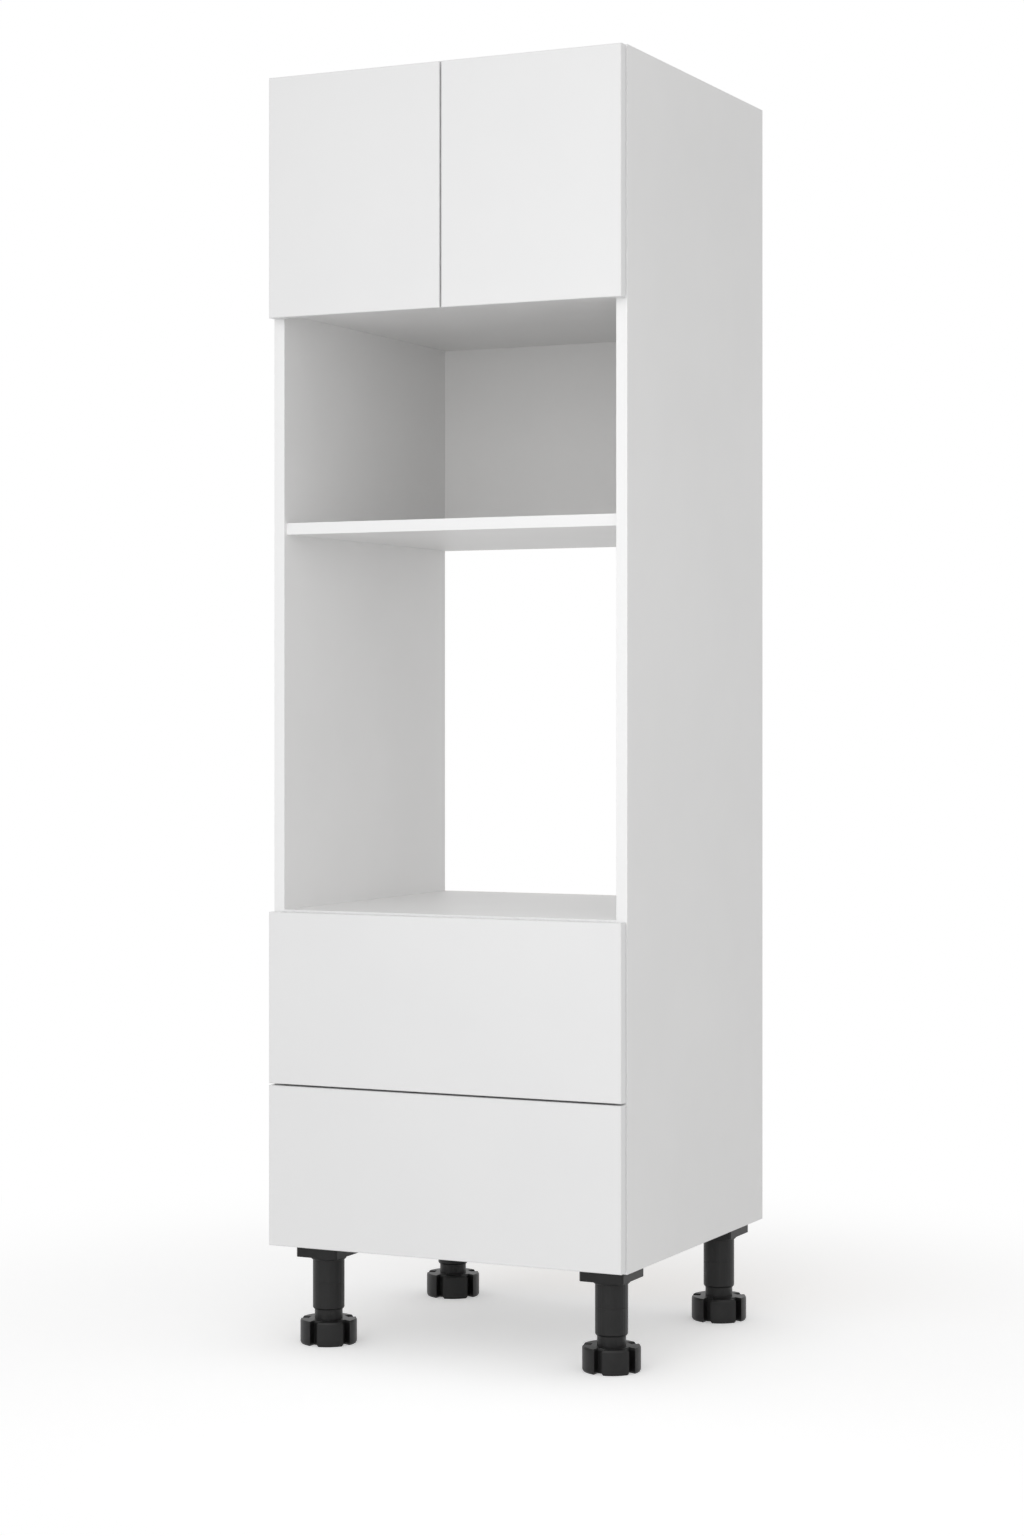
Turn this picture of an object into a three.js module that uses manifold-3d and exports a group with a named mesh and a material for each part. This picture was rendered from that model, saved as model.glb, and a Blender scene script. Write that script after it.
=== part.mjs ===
// Tall kitchen housing for a built-in oven with a microwave niche above it.
// A white board carcass stands on four levelling legs. It carries two cupboard doors on
// concealed cup hinges and two handleless drawers on telescopic runners.
// Millimetres, +Z up, +X to the right and -Y to the front. The origin is on the floor,
// in the middle of the housing's plan.

import * as THREE from "three";
import { mergeVertices } from "three/addons/utils/BufferGeometryUtils.js";
import Module from "manifold-3d";

const wasm = await Module();
wasm.setup();

// Overall sizes
const WIDTH = 600;
const CARCASS_DEPTH = 560;
const LEG_HEIGHT = 160;

// Boards
const BOARD = 18;
const BACK_BOARD = 3;
const BACK_REBATE = 9;
const SHELF_SETBACK = 8;

// Clear heights between the boards, from the bottom panel upwards
const DRAWER_SPACE = 488;
const OVEN_NICHE = 585;
const MICROWAVE_NICHE = 326;
const CUPBOARD_SPACE = 331;

// Doors and drawer fronts
const FRONT_BOARD = 18;
const FRONT_STANDOFF = 2;
const FRONT_REVEAL = 1.5;
const FRONT_GAP = 3;
const BOTTOM_REVEAL = 2.5;
const FRONT_EDGE_RADIUS = 1;
const DOOR_GRIP_OVERHANG = 8;
const DECK_EDGE_SHOWING = 3;
const LOWER_FRONT_SHARE = 0.483;

// Concealed hinges: places in plan, measured from the door's edge and inner face,
// or from the side panel's inner face and front edge
const HINGE_INSET = 90;
const CUP_RADIUS = 17.5;
const CUP_DEPTH = 12;
const CUP_EDGE_DISTANCE = 5;
const CUP_SEAT_CLEARANCE = 0.3;
const CUP_WALL = 1.4;
const CUP_FLANGE_WIDTH = 22;
const CUP_FLANGE_HEIGHT = 57;
const CUP_FLANGE_THICKNESS = 1.2;
const CUP_MOUTH_HEIGHT = 19;
const CUP_PIVOT_INSET = 12;
const CUP_PIVOT_DEPTH = 4;
const ARM_PIVOT_LIFT = 17;
const ARM_PIVOT_SETBACK = 1;
const PIVOT_PIN_RADIUS = 1.5;
const PIVOT_CLEARANCE = 0.3;
const KNUCKLE_WALL = 1.2;
const LINK_HEIGHT = 10.8;
const LINK_THICKNESS = 2.4;
const LINK_BOW_PLACE = 0.3;
const LINK_BOW = 12;
const ARM_HEIGHT = 16;
const ARM_LENGTH = 76;
const ARM_NOSE_RADIUS = 3.5;
const ARM_TAIL_RISE = 8;
const ARM_CREST_RISE = 10;
const ARM_TAIL_LENGTH = 14;
const ARM_SHOULDER_SETBACK = 24;
const HINGE_PLATE_THICKNESS = 5;
const BASE_MARGIN = 2;
const HINGE_PLATE_SETBACK = 37;
const HINGE_WING_HEIGHT = 48;
const HINGE_WING_WIDTH = 18;

// Push latches behind the doors
const LATCH_SPACING = 60;
const LATCH_LENGTH = 72;
const LATCH_WIDTH = 14;
const LATCH_HEIGHT = 16;
const LATCH_EAR_WIDTH = 30;
const LATCH_EAR_LENGTH = 16;
const LATCH_EAR_THICKNESS = 3;
const LATCH_SETBACK = 2;
const LATCH_PLUNGER_RADIUS = 4;
const LATCH_PLUNGER_LENGTH = 58;
const LATCH_BORE_DEPTH = 64;
const LATCH_CLEARANCE = 0.3;

// Drawers and their telescopic runners
const DRAWER_RISE = 16;
const DRAWER_REAR_CLEARANCE = 59;
const DRAWER_SIDE_HEIGHT = 160;
const DRAWER_SIDE_OFFSET = 12.25;
const DRAWER_SIDE_WIDTH = 13;
const DRAWER_SKIN = 1.25;
const DRAWER_FLANGE = 15;
const DRAWER_BASE_BOARD = 16;
const DRAWER_BACK_BOARD = 16;
const DRAWER_BACK_DROP = 10;
const RUNNER_SHEET = 1.25;
const RUNNER_PLAY = 0.5;
const RUNNER_AXIS_RISE = 20;
const CABINET_RAIL_HEIGHT = 35;
const CABINET_RAIL_WIDTH = 10.5;
const CABINET_RAIL_LIP = 2.5;
const MIDDLE_RAIL_LIP = 2;
const MIDDLE_RAIL_WIDTH = 9.5;
const MIDDLE_RAIL_SHORTFALL = 40;
const RUNNER_SETBACK = 2;

// Levelling legs
const LEG_SIDE_INSET = 57;
const LEG_FRONT_INSET = 72;
const LEG_BACK_INSET = 50;
const LEG_PLATE_WIDTH = 72;
const LEG_PLATE_DEPTH = 82;
const LEG_PLATE_THICKNESS = 22;
const LEG_PLATE_CORNER = 3;
const LEG_PLATE_COUNTERBORE = 8;
const LEG_SCREW_RADIUS = 2.5;
const LEG_SCREW_INSET = 9;
const LEG_TUBE_RADIUS = 25;
const LEG_COLLAR_RADIUS = 28;
const LEG_COLLAR_HEIGHT = 6;
const LEG_COLLAR_EASE = 1;
const LEG_CAP = 4;
const LEG_STEM_RADIUS = 22;
const LEG_STEM_CLEARANCE = 0.4;
const LEG_STEM_SHOWING = 16;
const LEG_STEM_ENGAGED = 58;
const LEG_STEM_WALL = 3;
const LEG_RIM_CHAMFER = 2;
const LEG_SEAM = 0.4;
const FOOT_RADIUS = 44.5;
const FOOT_HEIGHT = 38;
const FOOT_LOBES = 5;
const FOOT_SLOT_WIDTH = 13;
const FOOT_SLOT_DEPTH = 13;
const FOOT_CHAMFER = 3;
const FOOT_SLOT_TURN = -94;

// Levels and planes worked out from the sizes above
const CUT_GRID = 64;
const toGrid = (value) => Math.round(value * CUT_GRID) / CUT_GRID;
const HALF_WIDTH = WIDTH / 2;
const OVERALL_DEPTH = CARCASS_DEPTH + FRONT_STANDOFF + FRONT_BOARD;
const BACK_Y = toGrid(OVERALL_DEPTH / 2);
const CARCASS_FRONT_Y = BACK_Y - CARCASS_DEPTH;
const FRONT_INNER_Y = CARCASS_FRONT_Y - FRONT_STANDOFF;
const BOARD_REAR_Y = BACK_Y - BACK_BOARD;
const INNER_X = HALF_WIDTH - BOARD;
const DECK_TOP = LEG_HEIGHT + BOARD + DRAWER_SPACE + BOARD;
const SHELF_UNDERSIDE = DECK_TOP + OVEN_NICHE;
const CUPBOARD_UNDERSIDE = SHELF_UNDERSIDE + BOARD + MICROWAVE_NICHE;
const CARCASS_TOP = CUPBOARD_UNDERSIDE + BOARD + CUPBOARD_SPACE + BOARD;
const DOOR_BOTTOM = CUPBOARD_UNDERSIDE - DOOR_GRIP_OVERHANG;
const DOOR_TOP = CARCASS_TOP - FRONT_REVEAL;
const DRAWERS_BOTTOM = LEG_HEIGHT + BOTTOM_REVEAL;
const DRAWERS_TOP = DECK_TOP - DECK_EDGE_SHOWING;
const FRONTS_HEIGHT = DRAWERS_TOP - DRAWERS_BOTTOM - FRONT_GAP;
const LOWER_FRONT_TOP = toGrid(DRAWERS_BOTTOM + FRONTS_HEIGHT * LOWER_FRONT_SHARE);
const UPPER_FRONT_BOTTOM = LOWER_FRONT_TOP + FRONT_GAP;
const DRAWER_LENGTH = BOARD_REAR_Y - DRAWER_REAR_CLEARANCE - FRONT_INNER_Y;
const MIDDLE_RAIL_LENGTH = DRAWER_LENGTH - MIDDLE_RAIL_SHORTFALL;

// Sides of the round forms: pins and screw holes, knuckles and rods, and the cups and legs
const PIN_SIDES = 12;
const ROD_SIDES = 18;
const CUP_SIDES = 36;
const LEG_SIDES = 32;
const LINK_STEPS = 12;
const FOOT_LOBE_STEPS = 8;
const EDGE_RADIUS_STEPS = 3;

// How far a cutter runs past the face that it opens, and a form into the one that it joins
const OVERRUN = 1;

// Finishes
const whiteBoard = new THREE.MeshStandardMaterial({ color: 0xe9e9e9, roughness: 0.55, metalness: 0 });
const backSheet = new THREE.MeshStandardMaterial({ color: 0xe2e2e2, roughness: 0.65, metalness: 0 });
const whiteSteel = new THREE.MeshStandardMaterial({ color: 0xdedfe0, roughness: 0.45, metalness: 0.1 });
const zincSteel = new THREE.MeshStandardMaterial({ color: 0xb4b7ba, roughness: 0.35, metalness: 0.9 });
const blackPlastic = new THREE.MeshStandardMaterial({ color: 0x232324, roughness: 0.5, metalness: 0 });
const greyPlastic = new THREE.MeshStandardMaterial({ color: 0xc9cacb, roughness: 0.5, metalness: 0 });

// Booleans

function solidOf(geometry) {
  const bare = geometry.clone();
  bare.deleteAttribute("normal");
  bare.deleteAttribute("uv");
  const merged = mergeVertices(bare, 1e-4);
  const vertProperties = Float32Array.from(merged.attributes.position.array);
  const triVerts = Uint32Array.from(merged.index.array);
  return new wasm.Manifold(new wasm.Mesh({ numProp: 3, vertProperties, triVerts }));
}

function geometryOf(solid) {
  const { vertProperties, triVerts } = solid.getMesh();
  const shared = new THREE.BufferGeometry();
  shared.setAttribute("position", new THREE.BufferAttribute(vertProperties, 3));
  shared.setIndex(new THREE.BufferAttribute(triVerts, 1));
  const faceted = shared.toNonIndexed();
  faceted.computeVertexNormals();
  return faceted;
}

function joined(geometries) {
  return geometries.map(solidOf).reduce((whole, part) => whole.add(part));
}

function cut(solid, geometries) {
  return geometries.map(solidOf).reduce((rest, tool) => rest.subtract(tool), solid);
}

// Plain forms

function piece(name, geometry, material) {
  const mesh = new THREE.Mesh(geometry, material);
  mesh.name = name;
  return mesh;
}

function block([x0, x1], [y0, y1], [z0, z1]) {
  const form = new THREE.BoxGeometry(x1 - x0, y1 - y0, z1 - z0);
  return form.translate((x0 + x1) / 2, (y0 + y1) / 2, (z0 + z1) / 2);
}

// A board sawn on the grid, so that boards that meet share the same plane.
function board(name, xs, ys, zs, material) {
  const [x0, x1] = xs.map(toGrid);
  const [y0, y1] = ys.map(toGrid);
  const [z0, z1] = zs.map(toGrid);
  const mesh = piece(name, new THREE.BoxGeometry(x1 - x0, y1 - y0, z1 - z0), material);
  mesh.position.set((x0 + x1) / 2, (y0 + y1) / 2, (z0 + z1) / 2);
  return mesh;
}

function outline(points) {
  return new THREE.Shape(points.map(([x, y]) => new THREE.Vector2(x, y)));
}

function upright(shape, low, high) {
  const form = new THREE.ExtrudeGeometry(shape, { depth: high - low, bevelEnabled: false });
  return form.translate(0, 0, low);
}

function uprightRod(x, y, radius, low, high, sides) {
  const form = new THREE.CylinderGeometry(radius, radius, high - low, sides);
  return form.rotateX(Math.PI / 2).translate(x, y, (low + high) / 2);
}

function levelRod(x, z, radius, y0, y1, sides) {
  const form = new THREE.CylinderGeometry(radius, radius, y1 - y0, sides);
  return form.translate(x, (y0 + y1) / 2, z);
}

// Carcass

function sidePanel(name, side) {
  const inner = -side * toGrid(BOARD);
  const groove = -side * toGrid(BOARD - BACK_REBATE);
  const front = CARCASS_FRONT_Y - BACK_Y;
  const section = outline([
    [0, front],
    [inner, front],
    [inner, -toGrid(BACK_BOARD)],
    [groove, -toGrid(BACK_BOARD)],
    [groove, 0],
    [0, 0],
  ]);
  const mesh = piece(name, upright(section, 0, toGrid(CARCASS_TOP) - toGrid(LEG_HEIGHT)), whiteBoard);
  mesh.position.set(side * toGrid(HALF_WIDTH), BACK_Y, toGrid(LEG_HEIGHT));
  return mesh;
}

function levelBoard(name, underside, setback = 0) {
  const depth = [CARCASS_FRONT_Y + setback, BOARD_REAR_Y];
  return board(name, [-INNER_X, INNER_X], depth, [underside, underside + BOARD], whiteBoard);
}

function backPanel(name, low, high) {
  const reach = INNER_X + BACK_REBATE;
  return board(name, [-reach, reach], [BOARD_REAR_Y, BACK_Y], [low, high], backSheet);
}

function carcass() {
  const group = new THREE.Group();
  group.add(
    sidePanel("left_side_panel", -1),
    sidePanel("right_side_panel", 1),
    levelBoard("bottom_panel", LEG_HEIGHT),
    levelBoard("oven_deck", DECK_TOP - BOARD),
    levelBoard("microwave_shelf", SHELF_UNDERSIDE, SHELF_SETBACK),
    levelBoard("cupboard_floor", CUPBOARD_UNDERSIDE),
    levelBoard("top_panel", CARCASS_TOP - BOARD),
    backPanel("upper_back_panel", SHELF_UNDERSIDE, CARCASS_TOP),
    backPanel("lower_back_panel", LEG_HEIGHT, DECK_TOP),
  );
  return group;
}

// A door or drawer front with eased edges, its inner face in the plane y = 0.
function frontSlab(width, height) {
  const x = width / 2;
  const z = height / 2;
  const face = outline([[-x, -z], [x, -z], [x, z], [-x, z]]);
  const slab = new THREE.ExtrudeGeometry(face, {
    depth: FRONT_BOARD - 2 * FRONT_EDGE_RADIUS,
    bevelThickness: FRONT_EDGE_RADIUS,
    bevelSize: FRONT_EDGE_RADIUS,
    bevelOffset: -FRONT_EDGE_RADIUS,
    bevelSegments: EDGE_RADIUS_STEPS,
  });
  return slab.translate(0, 0, FRONT_EDGE_RADIUS).rotateX(Math.PI / 2);
}

// Concealed hinge. Its plan is drawn with u inwards from the side panel's outer face and
// v forwards from its front edge, and height is counted from the hinge's middle.

function planPoint(side, u, v) {
  return [-side * u, -v];
}

function planShape(side, points) {
  return outline(points.map(([u, v]) => planPoint(side, u, v)));
}

function planBlock(side, [u0, u1], [v0, v1], height) {
  const xs = [-side * u0, -side * u1].sort((a, b) => a - b);
  return block(xs, [-v1, -v0], [-height / 2, height / 2]);
}

function planRod(side, [u, v], radius, height, sides = ROD_SIDES) {
  return uprightRod(...planPoint(side, u, v), radius, -height / 2, height / 2, sides);
}

const ARM_PIVOT = [BOARD + ARM_PIVOT_LIFT, -ARM_PIVOT_SETBACK];
const CUP_PIVOT = [FRONT_REVEAL + CUP_PIVOT_INSET, FRONT_STANDOFF + CUP_PIVOT_DEPTH];
const CUP_CENTRE_U = FRONT_REVEAL + CUP_EDGE_DISTANCE + CUP_RADIUS;
const KNUCKLE_RADIUS = PIVOT_PIN_RADIUS + PIVOT_CLEARANCE + KNUCKLE_WALL;
const SLOT_HEIGHT = LINK_HEIGHT + 2 * PIVOT_CLEARANCE;

// The cup is pressed into the door. A pin across its mouth holds the link.
function hingeCup(side) {
  const radius = CUP_RADIUS - CUP_SEAT_CLEARANCE;
  const floor = FRONT_STANDOFF + CUP_DEPTH - CUP_SEAT_CLEARANCE;
  const x = -side * CUP_CENTRE_U;
  const shell = levelRod(x, 0, radius, -floor, -FRONT_STANDOFF, CUP_SIDES);
  const flangeReach = [CUP_CENTRE_U - CUP_FLANGE_WIDTH / 2, CUP_CENTRE_U + CUP_FLANGE_WIDTH / 2];
  const flangeDepth = [FRONT_STANDOFF - CUP_FLANGE_THICKNESS, FRONT_STANDOFF + CUP_WALL];
  const flange = planBlock(side, flangeReach, flangeDepth, CUP_FLANGE_HEIGHT);
  const hollow = solidOf(levelRod(x, 0, radius - CUP_WALL, -(floor - CUP_WALL), 0, CUP_SIDES));
  const mouth = solidOf(planBlock(side, [0, 2 * CUP_CENTRE_U], [0, floor], CUP_MOUTH_HEIGHT));
  const pin = solidOf(planRod(side, CUP_PIVOT, PIVOT_PIN_RADIUS, CUP_MOUTH_HEIGHT + CUP_WALL, PIN_SIDES));
  const inDoor = solidOf(planBlock(side, [0, 2 * CUP_CENTRE_U], [FRONT_STANDOFF, floor], CUP_FLANGE_HEIGHT));
  const barrel = solidOf(levelRod(x, 0, radius, -floor, 0, CUP_SIDES));
  const wings = solidOf(flange).subtract(inDoor.subtract(barrel));
  return geometryOf(solidOf(shell).add(wings).subtract(hollow.intersect(mouth)).add(pin));
}

// The gooseneck link bows round the door's edge when the door is open.
function hingeLink(side) {
  const cupEnd = new THREE.Vector2(...CUP_PIVOT);
  const armEnd = new THREE.Vector2(...ARM_PIVOT);
  const along = armEnd.clone().sub(cupEnd);
  const across = new THREE.Vector2(-along.y, along.x).normalize();
  const control = cupEnd.clone().addScaledVector(along, LINK_BOW_PLACE).addScaledVector(across, LINK_BOW);
  const curve = new THREE.QuadraticBezierCurve(cupEnd, control, armEnd);
  const outer = [];
  const inner = [];
  for (let step = 0; step <= LINK_STEPS; step += 1) {
    const point = curve.getPoint(step / LINK_STEPS);
    const tangent = curve.getTangent(step / LINK_STEPS);
    const offset = new THREE.Vector2(-tangent.y, tangent.x).multiplyScalar(LINK_THICKNESS / 2);
    outer.push(point.clone().add(offset).toArray());
    inner.unshift(point.clone().sub(offset).toArray());
  }
  const neck = upright(planShape(side, [...outer, ...inner]), -LINK_HEIGHT / 2, LINK_HEIGHT / 2);
  const knuckles = [CUP_PIVOT, ARM_PIVOT].map((place) => planRod(side, place, KNUCKLE_RADIUS, LINK_HEIGHT));
  const eyeRadius = PIVOT_PIN_RADIUS + PIVOT_CLEARANCE;
  const eyes = [CUP_PIVOT, ARM_PIVOT].map((place) => planRod(side, place, eyeRadius, 2 * LINK_HEIGHT));
  return geometryOf(cut(joined([neck, ...knuckles]), eyes));
}

// The arm sits on its mounting plate on the side panel. Two cheeks at its nose hold a pin.
function hingeArm(side) {
  const [pivotU, pivotV] = ARM_PIVOT;
  const slotBack = pivotV - KNUCKLE_RADIUS - PIVOT_CLEARANCE;
  const plateTop = BOARD + HINGE_PLATE_THICKNESS;
  const profile = planShape(side, [
    [plateTop, -ARM_LENGTH],
    [plateTop + ARM_TAIL_RISE, -ARM_LENGTH],
    [plateTop + ARM_CREST_RISE, ARM_TAIL_LENGTH - ARM_LENGTH],
    [pivotU + ARM_NOSE_RADIUS, -ARM_SHOULDER_SETBACK],
    [pivotU + ARM_NOSE_RADIUS, pivotV],
    [pivotU - ARM_NOSE_RADIUS, pivotV],
    [pivotU - 2 * ARM_NOSE_RADIUS, slotBack - ARM_NOSE_RADIUS],
    [plateTop, -ARM_SHOULDER_SETBACK],
  ]);
  const body = upright(profile, -ARM_HEIGHT / 2, ARM_HEIGHT / 2);
  const nose = planRod(side, ARM_PIVOT, ARM_NOSE_RADIUS, ARM_HEIGHT);
  const baseReach = [-ARM_LENGTH - BASE_MARGIN, BASE_MARGIN - ARM_SHOULDER_SETBACK];
  const base = planBlock(side, [BOARD, plateTop + OVERRUN], baseReach, ARM_HEIGHT + 2 * BASE_MARGIN);
  const wingBack = -HINGE_PLATE_SETBACK - HINGE_WING_WIDTH / 2;
  const wingReach = [wingBack, wingBack + HINGE_WING_WIDTH];
  const wings = planBlock(side, [BOARD, BOARD + HINGE_PLATE_THICKNESS / 2], wingReach, HINGE_WING_HEIGHT);
  const slotReach = [pivotU - 2 * ARM_NOSE_RADIUS, pivotU + 2 * ARM_NOSE_RADIUS];
  const slot = planBlock(side, slotReach, [slotBack, pivotV + 2 * ARM_NOSE_RADIUS], SLOT_HEIGHT);
  const pin = solidOf(planRod(side, ARM_PIVOT, PIVOT_PIN_RADIUS, ARM_HEIGHT, PIN_SIDES));
  return geometryOf(cut(joined([body, nose, base, wings]), [slot]).add(pin));
}

function hinge(name, side, height) {
  const group = new THREE.Group();
  group.position.set(side * HALF_WIDTH, CARCASS_FRONT_Y, height);
  group.add(
    piece(`${name}_cup`, hingeCup(side), zincSteel),
    piece(`${name}_link`, hingeLink(side), zincSteel),
    piece(`${name}_arm`, hingeArm(side), zincSteel),
  );
  return group;
}

function door(word, side) {
  const group = new THREE.Group();
  const width = toGrid(HALF_WIDTH - FRONT_REVEAL - FRONT_GAP / 2);
  const height = toGrid(DOOR_TOP - DOOR_BOTTOM);
  const cupX = side * (width / 2 - CUP_EDGE_DISTANCE - CUP_RADIUS);
  const cupZ = height / 2 - HINGE_INSET;
  const bores = [cupZ, -cupZ].map((z) => levelRod(cupX, z, CUP_RADIUS, -CUP_DEPTH, FRONT_BOARD, CUP_SIDES));
  const slab = cut(solidOf(frontSlab(width, height)), bores);
  const mesh = piece(`${word}_door`, geometryOf(slab), whiteBoard);
  const middle = (DOOR_TOP + DOOR_BOTTOM) / 2;
  mesh.position.set(side * (FRONT_GAP / 2 + width / 2), FRONT_INNER_Y, middle);
  group.add(
    mesh,
    hinge(`${word}_upper_hinge`, side, middle + cupZ),
    hinge(`${word}_lower_hinge`, side, middle - cupZ),
  );
  return group;
}

// Push latch under the top panel. Its sprung plunger stands just behind the closed door.
function pushLatch(word, side) {
  const group = new THREE.Group();
  const underTop = toGrid(CARCASS_TOP - BOARD);
  group.position.set((side * LATCH_SPACING) / 2, CARCASS_FRONT_Y + LATCH_SETBACK, underTop);
  const half = LATCH_WIDTH / 2;
  const axis = -LATCH_HEIGHT / 2;
  const body = block([-half, half], [0, LATCH_LENGTH], [-LATCH_HEIGHT, 0]);
  const earStart = (LATCH_LENGTH - LATCH_EAR_LENGTH) / 2;
  const earReach = [earStart, earStart + LATCH_EAR_LENGTH];
  const ears = block([-LATCH_EAR_WIDTH / 2, LATCH_EAR_WIDTH / 2], earReach, [-LATCH_EAR_THICKNESS, 0]);
  const boreRadius = LATCH_PLUNGER_RADIUS + LATCH_CLEARANCE;
  const bore = levelRod(0, axis, boreRadius, -OVERRUN, LATCH_BORE_DEPTH, ROD_SIDES);
  const housing = geometryOf(cut(joined([body, ears]), [bore]));
  const tip = LATCH_CLEARANCE - FRONT_STANDOFF - LATCH_SETBACK;
  const plunger = levelRod(0, axis, LATCH_PLUNGER_RADIUS, tip, tip + LATCH_PLUNGER_LENGTH, ROD_SIDES);
  group.add(
    piece(`${word}_push_latch_housing`, housing, greyPlastic),
    piece(`${word}_push_latch_plunger`, plunger, greyPlastic),
  );
  return group;
}

// Runner and drawer-side sections, drawn with t inwards from the side panel and z from
// the drawer's underside, or from the runner's axis.

function rolled(side, points, length) {
  const section = outline(points.map(([t, z]) => [side * t, z]));
  return upright(section, -length, 0).rotateX(Math.PI / 2);
}

function railSection(back, width, height, lip) {
  const front = back + width;
  const half = height / 2;
  const inner = half - RUNNER_SHEET;
  const lipEnd = inner - lip;
  const lipBack = front - RUNNER_SHEET;
  const web = back + RUNNER_SHEET;
  return [
    [back, -half], [front, -half], [front, -lipEnd], [lipBack, -lipEnd], [lipBack, -inner],
    [web, -inner], [web, inner], [lipBack, inner], [lipBack, lipEnd], [front, lipEnd],
    [front, half], [back, half],
  ];
}

const MIDDLE_RAIL_BACK = RUNNER_SHEET + RUNNER_PLAY;
const MIDDLE_RAIL_HEIGHT = CABINET_RAIL_HEIGHT - 2 * (RUNNER_SHEET + CABINET_RAIL_LIP + RUNNER_PLAY);
const TONGUE_BACK = MIDDLE_RAIL_BACK + RUNNER_SHEET + RUNNER_PLAY;
const TONGUE_HEIGHT = MIDDLE_RAIL_HEIGHT - 2 * (RUNNER_SHEET + MIDDLE_RAIL_LIP + RUNNER_PLAY);

// One folded sheet: the runner tongue, the double wall and the flange under the base.
function drawerSideSection() {
  const skin = DRAWER_SKIN;
  const outer = DRAWER_SIDE_OFFSET;
  const inner = outer + DRAWER_SIDE_WIDTH;
  const tongueTop = RUNNER_AXIS_RISE + TONGUE_HEIGHT / 2;
  const tongueFoot = RUNNER_AXIS_RISE - TONGUE_HEIGHT / 2;
  const ease = skin;
  return [
    [TONGUE_BACK, tongueFoot], [outer + skin, tongueFoot], [outer + skin, DRAWER_SIDE_HEIGHT - skin],
    [inner - skin, DRAWER_SIDE_HEIGHT - skin], [inner - skin, 0], [inner + DRAWER_FLANGE, 0],
    [inner + DRAWER_FLANGE, skin], [inner, skin], [inner, DRAWER_SIDE_HEIGHT - ease],
    [inner - ease, DRAWER_SIDE_HEIGHT], [outer + ease, DRAWER_SIDE_HEIGHT],
    [outer, DRAWER_SIDE_HEIGHT - ease], [outer, tongueTop], [TONGUE_BACK, tongueTop],
    [TONGUE_BACK, tongueTop - skin], [outer, tongueTop - skin], [outer, tongueFoot + skin],
    [TONGUE_BACK + skin, tongueFoot + skin], [TONGUE_BACK + skin, tongueTop - 2 * skin],
    [TONGUE_BACK, tongueTop - 2 * skin],
  ];
}

function runner(word, side, axisZ) {
  const group = new THREE.Group();
  const hand = side < 0 ? "left" : "right";
  group.position.set(side * toGrid(INNER_X), CARCASS_FRONT_Y + RUNNER_SETBACK, axisZ);
  const cabinetSection = railSection(0, CABINET_RAIL_WIDTH, CABINET_RAIL_HEIGHT, CABINET_RAIL_LIP);
  const middleSection = railSection(MIDDLE_RAIL_BACK, MIDDLE_RAIL_WIDTH, MIDDLE_RAIL_HEIGHT, MIDDLE_RAIL_LIP);
  group.add(
    piece(`${word}_${hand}_cabinet_rail`, rolled(-side, cabinetSection, DRAWER_LENGTH), zincSteel),
    piece(`${word}_${hand}_middle_rail`, rolled(-side, middleSection, MIDDLE_RAIL_LENGTH), zincSteel),
  );
  return group;
}

function drawer(word, frontLow, frontHigh, underside) {
  const group = new THREE.Group();
  const base = toGrid(underside);
  const rear = FRONT_INNER_Y + DRAWER_LENGTH;
  const width = toGrid(WIDTH - 2 * FRONT_REVEAL);
  const front = piece(`${word}_front`, frontSlab(width, frontHigh - frontLow), whiteBoard);
  front.position.set(0, FRONT_INNER_Y, (frontHigh + frontLow) / 2);
  group.add(front);
  for (const side of [-1, 1]) {
    const hand = side < 0 ? "left" : "right";
    const wall = piece(`${word}_${hand}_side`, rolled(-side, drawerSideSection(), DRAWER_LENGTH), whiteSteel);
    wall.position.set(side * toGrid(INNER_X), FRONT_INNER_Y, base);
    group.add(wall, runner(word, side, base + RUNNER_AXIS_RISE));
  }
  const reach = INNER_X - DRAWER_SIDE_OFFSET - DRAWER_SIDE_WIDTH;
  const floor = base + DRAWER_SKIN;
  const floorTop = floor + DRAWER_BASE_BOARD;
  const backTop = base + DRAWER_SIDE_HEIGHT - DRAWER_BACK_DROP;
  group.add(
    board(`${word}_base`, [-reach, reach], [FRONT_INNER_Y, rear], [floor, floorTop], whiteBoard),
    board(`${word}_back`, [-reach, reach], [rear - DRAWER_BACK_BOARD, rear], [floorTop, backTop], whiteBoard),
  );
  return group;
}

// Levelling legs

function legPlate() {
  const x = LEG_PLATE_WIDTH / 2;
  const y = LEG_PLATE_DEPTH / 2;
  const c = LEG_PLATE_CORNER;
  const face = outline([
    [c - x, -y], [x - c, -y], [x, c - y], [x, y - c], [x - c, y], [c - x, y], [-x, y - c], [-x, c - y],
  ]);
  const slab = upright(face, -LEG_PLATE_THICKNESS, 0);
  const below = -2 * LEG_PLATE_THICKNESS;
  const seat = LEG_PLATE_COUNTERBORE - LEG_PLATE_THICKNESS;
  const holes = [];
  for (const sx of [-1, 1]) {
    for (const sy of [-1, 1]) {
      const place = [sx * (x - LEG_SCREW_INSET), sy * (y - LEG_SCREW_INSET)];
      holes.push(uprightRod(...place, LEG_SCREW_RADIUS, below, LEG_PLATE_THICKNESS, PIN_SIDES));
      holes.push(uprightRod(...place, 2 * LEG_SCREW_RADIUS, below, seat, PIN_SIDES));
    }
  }
  return geometryOf(cut(solidOf(slab), holes));
}

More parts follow.
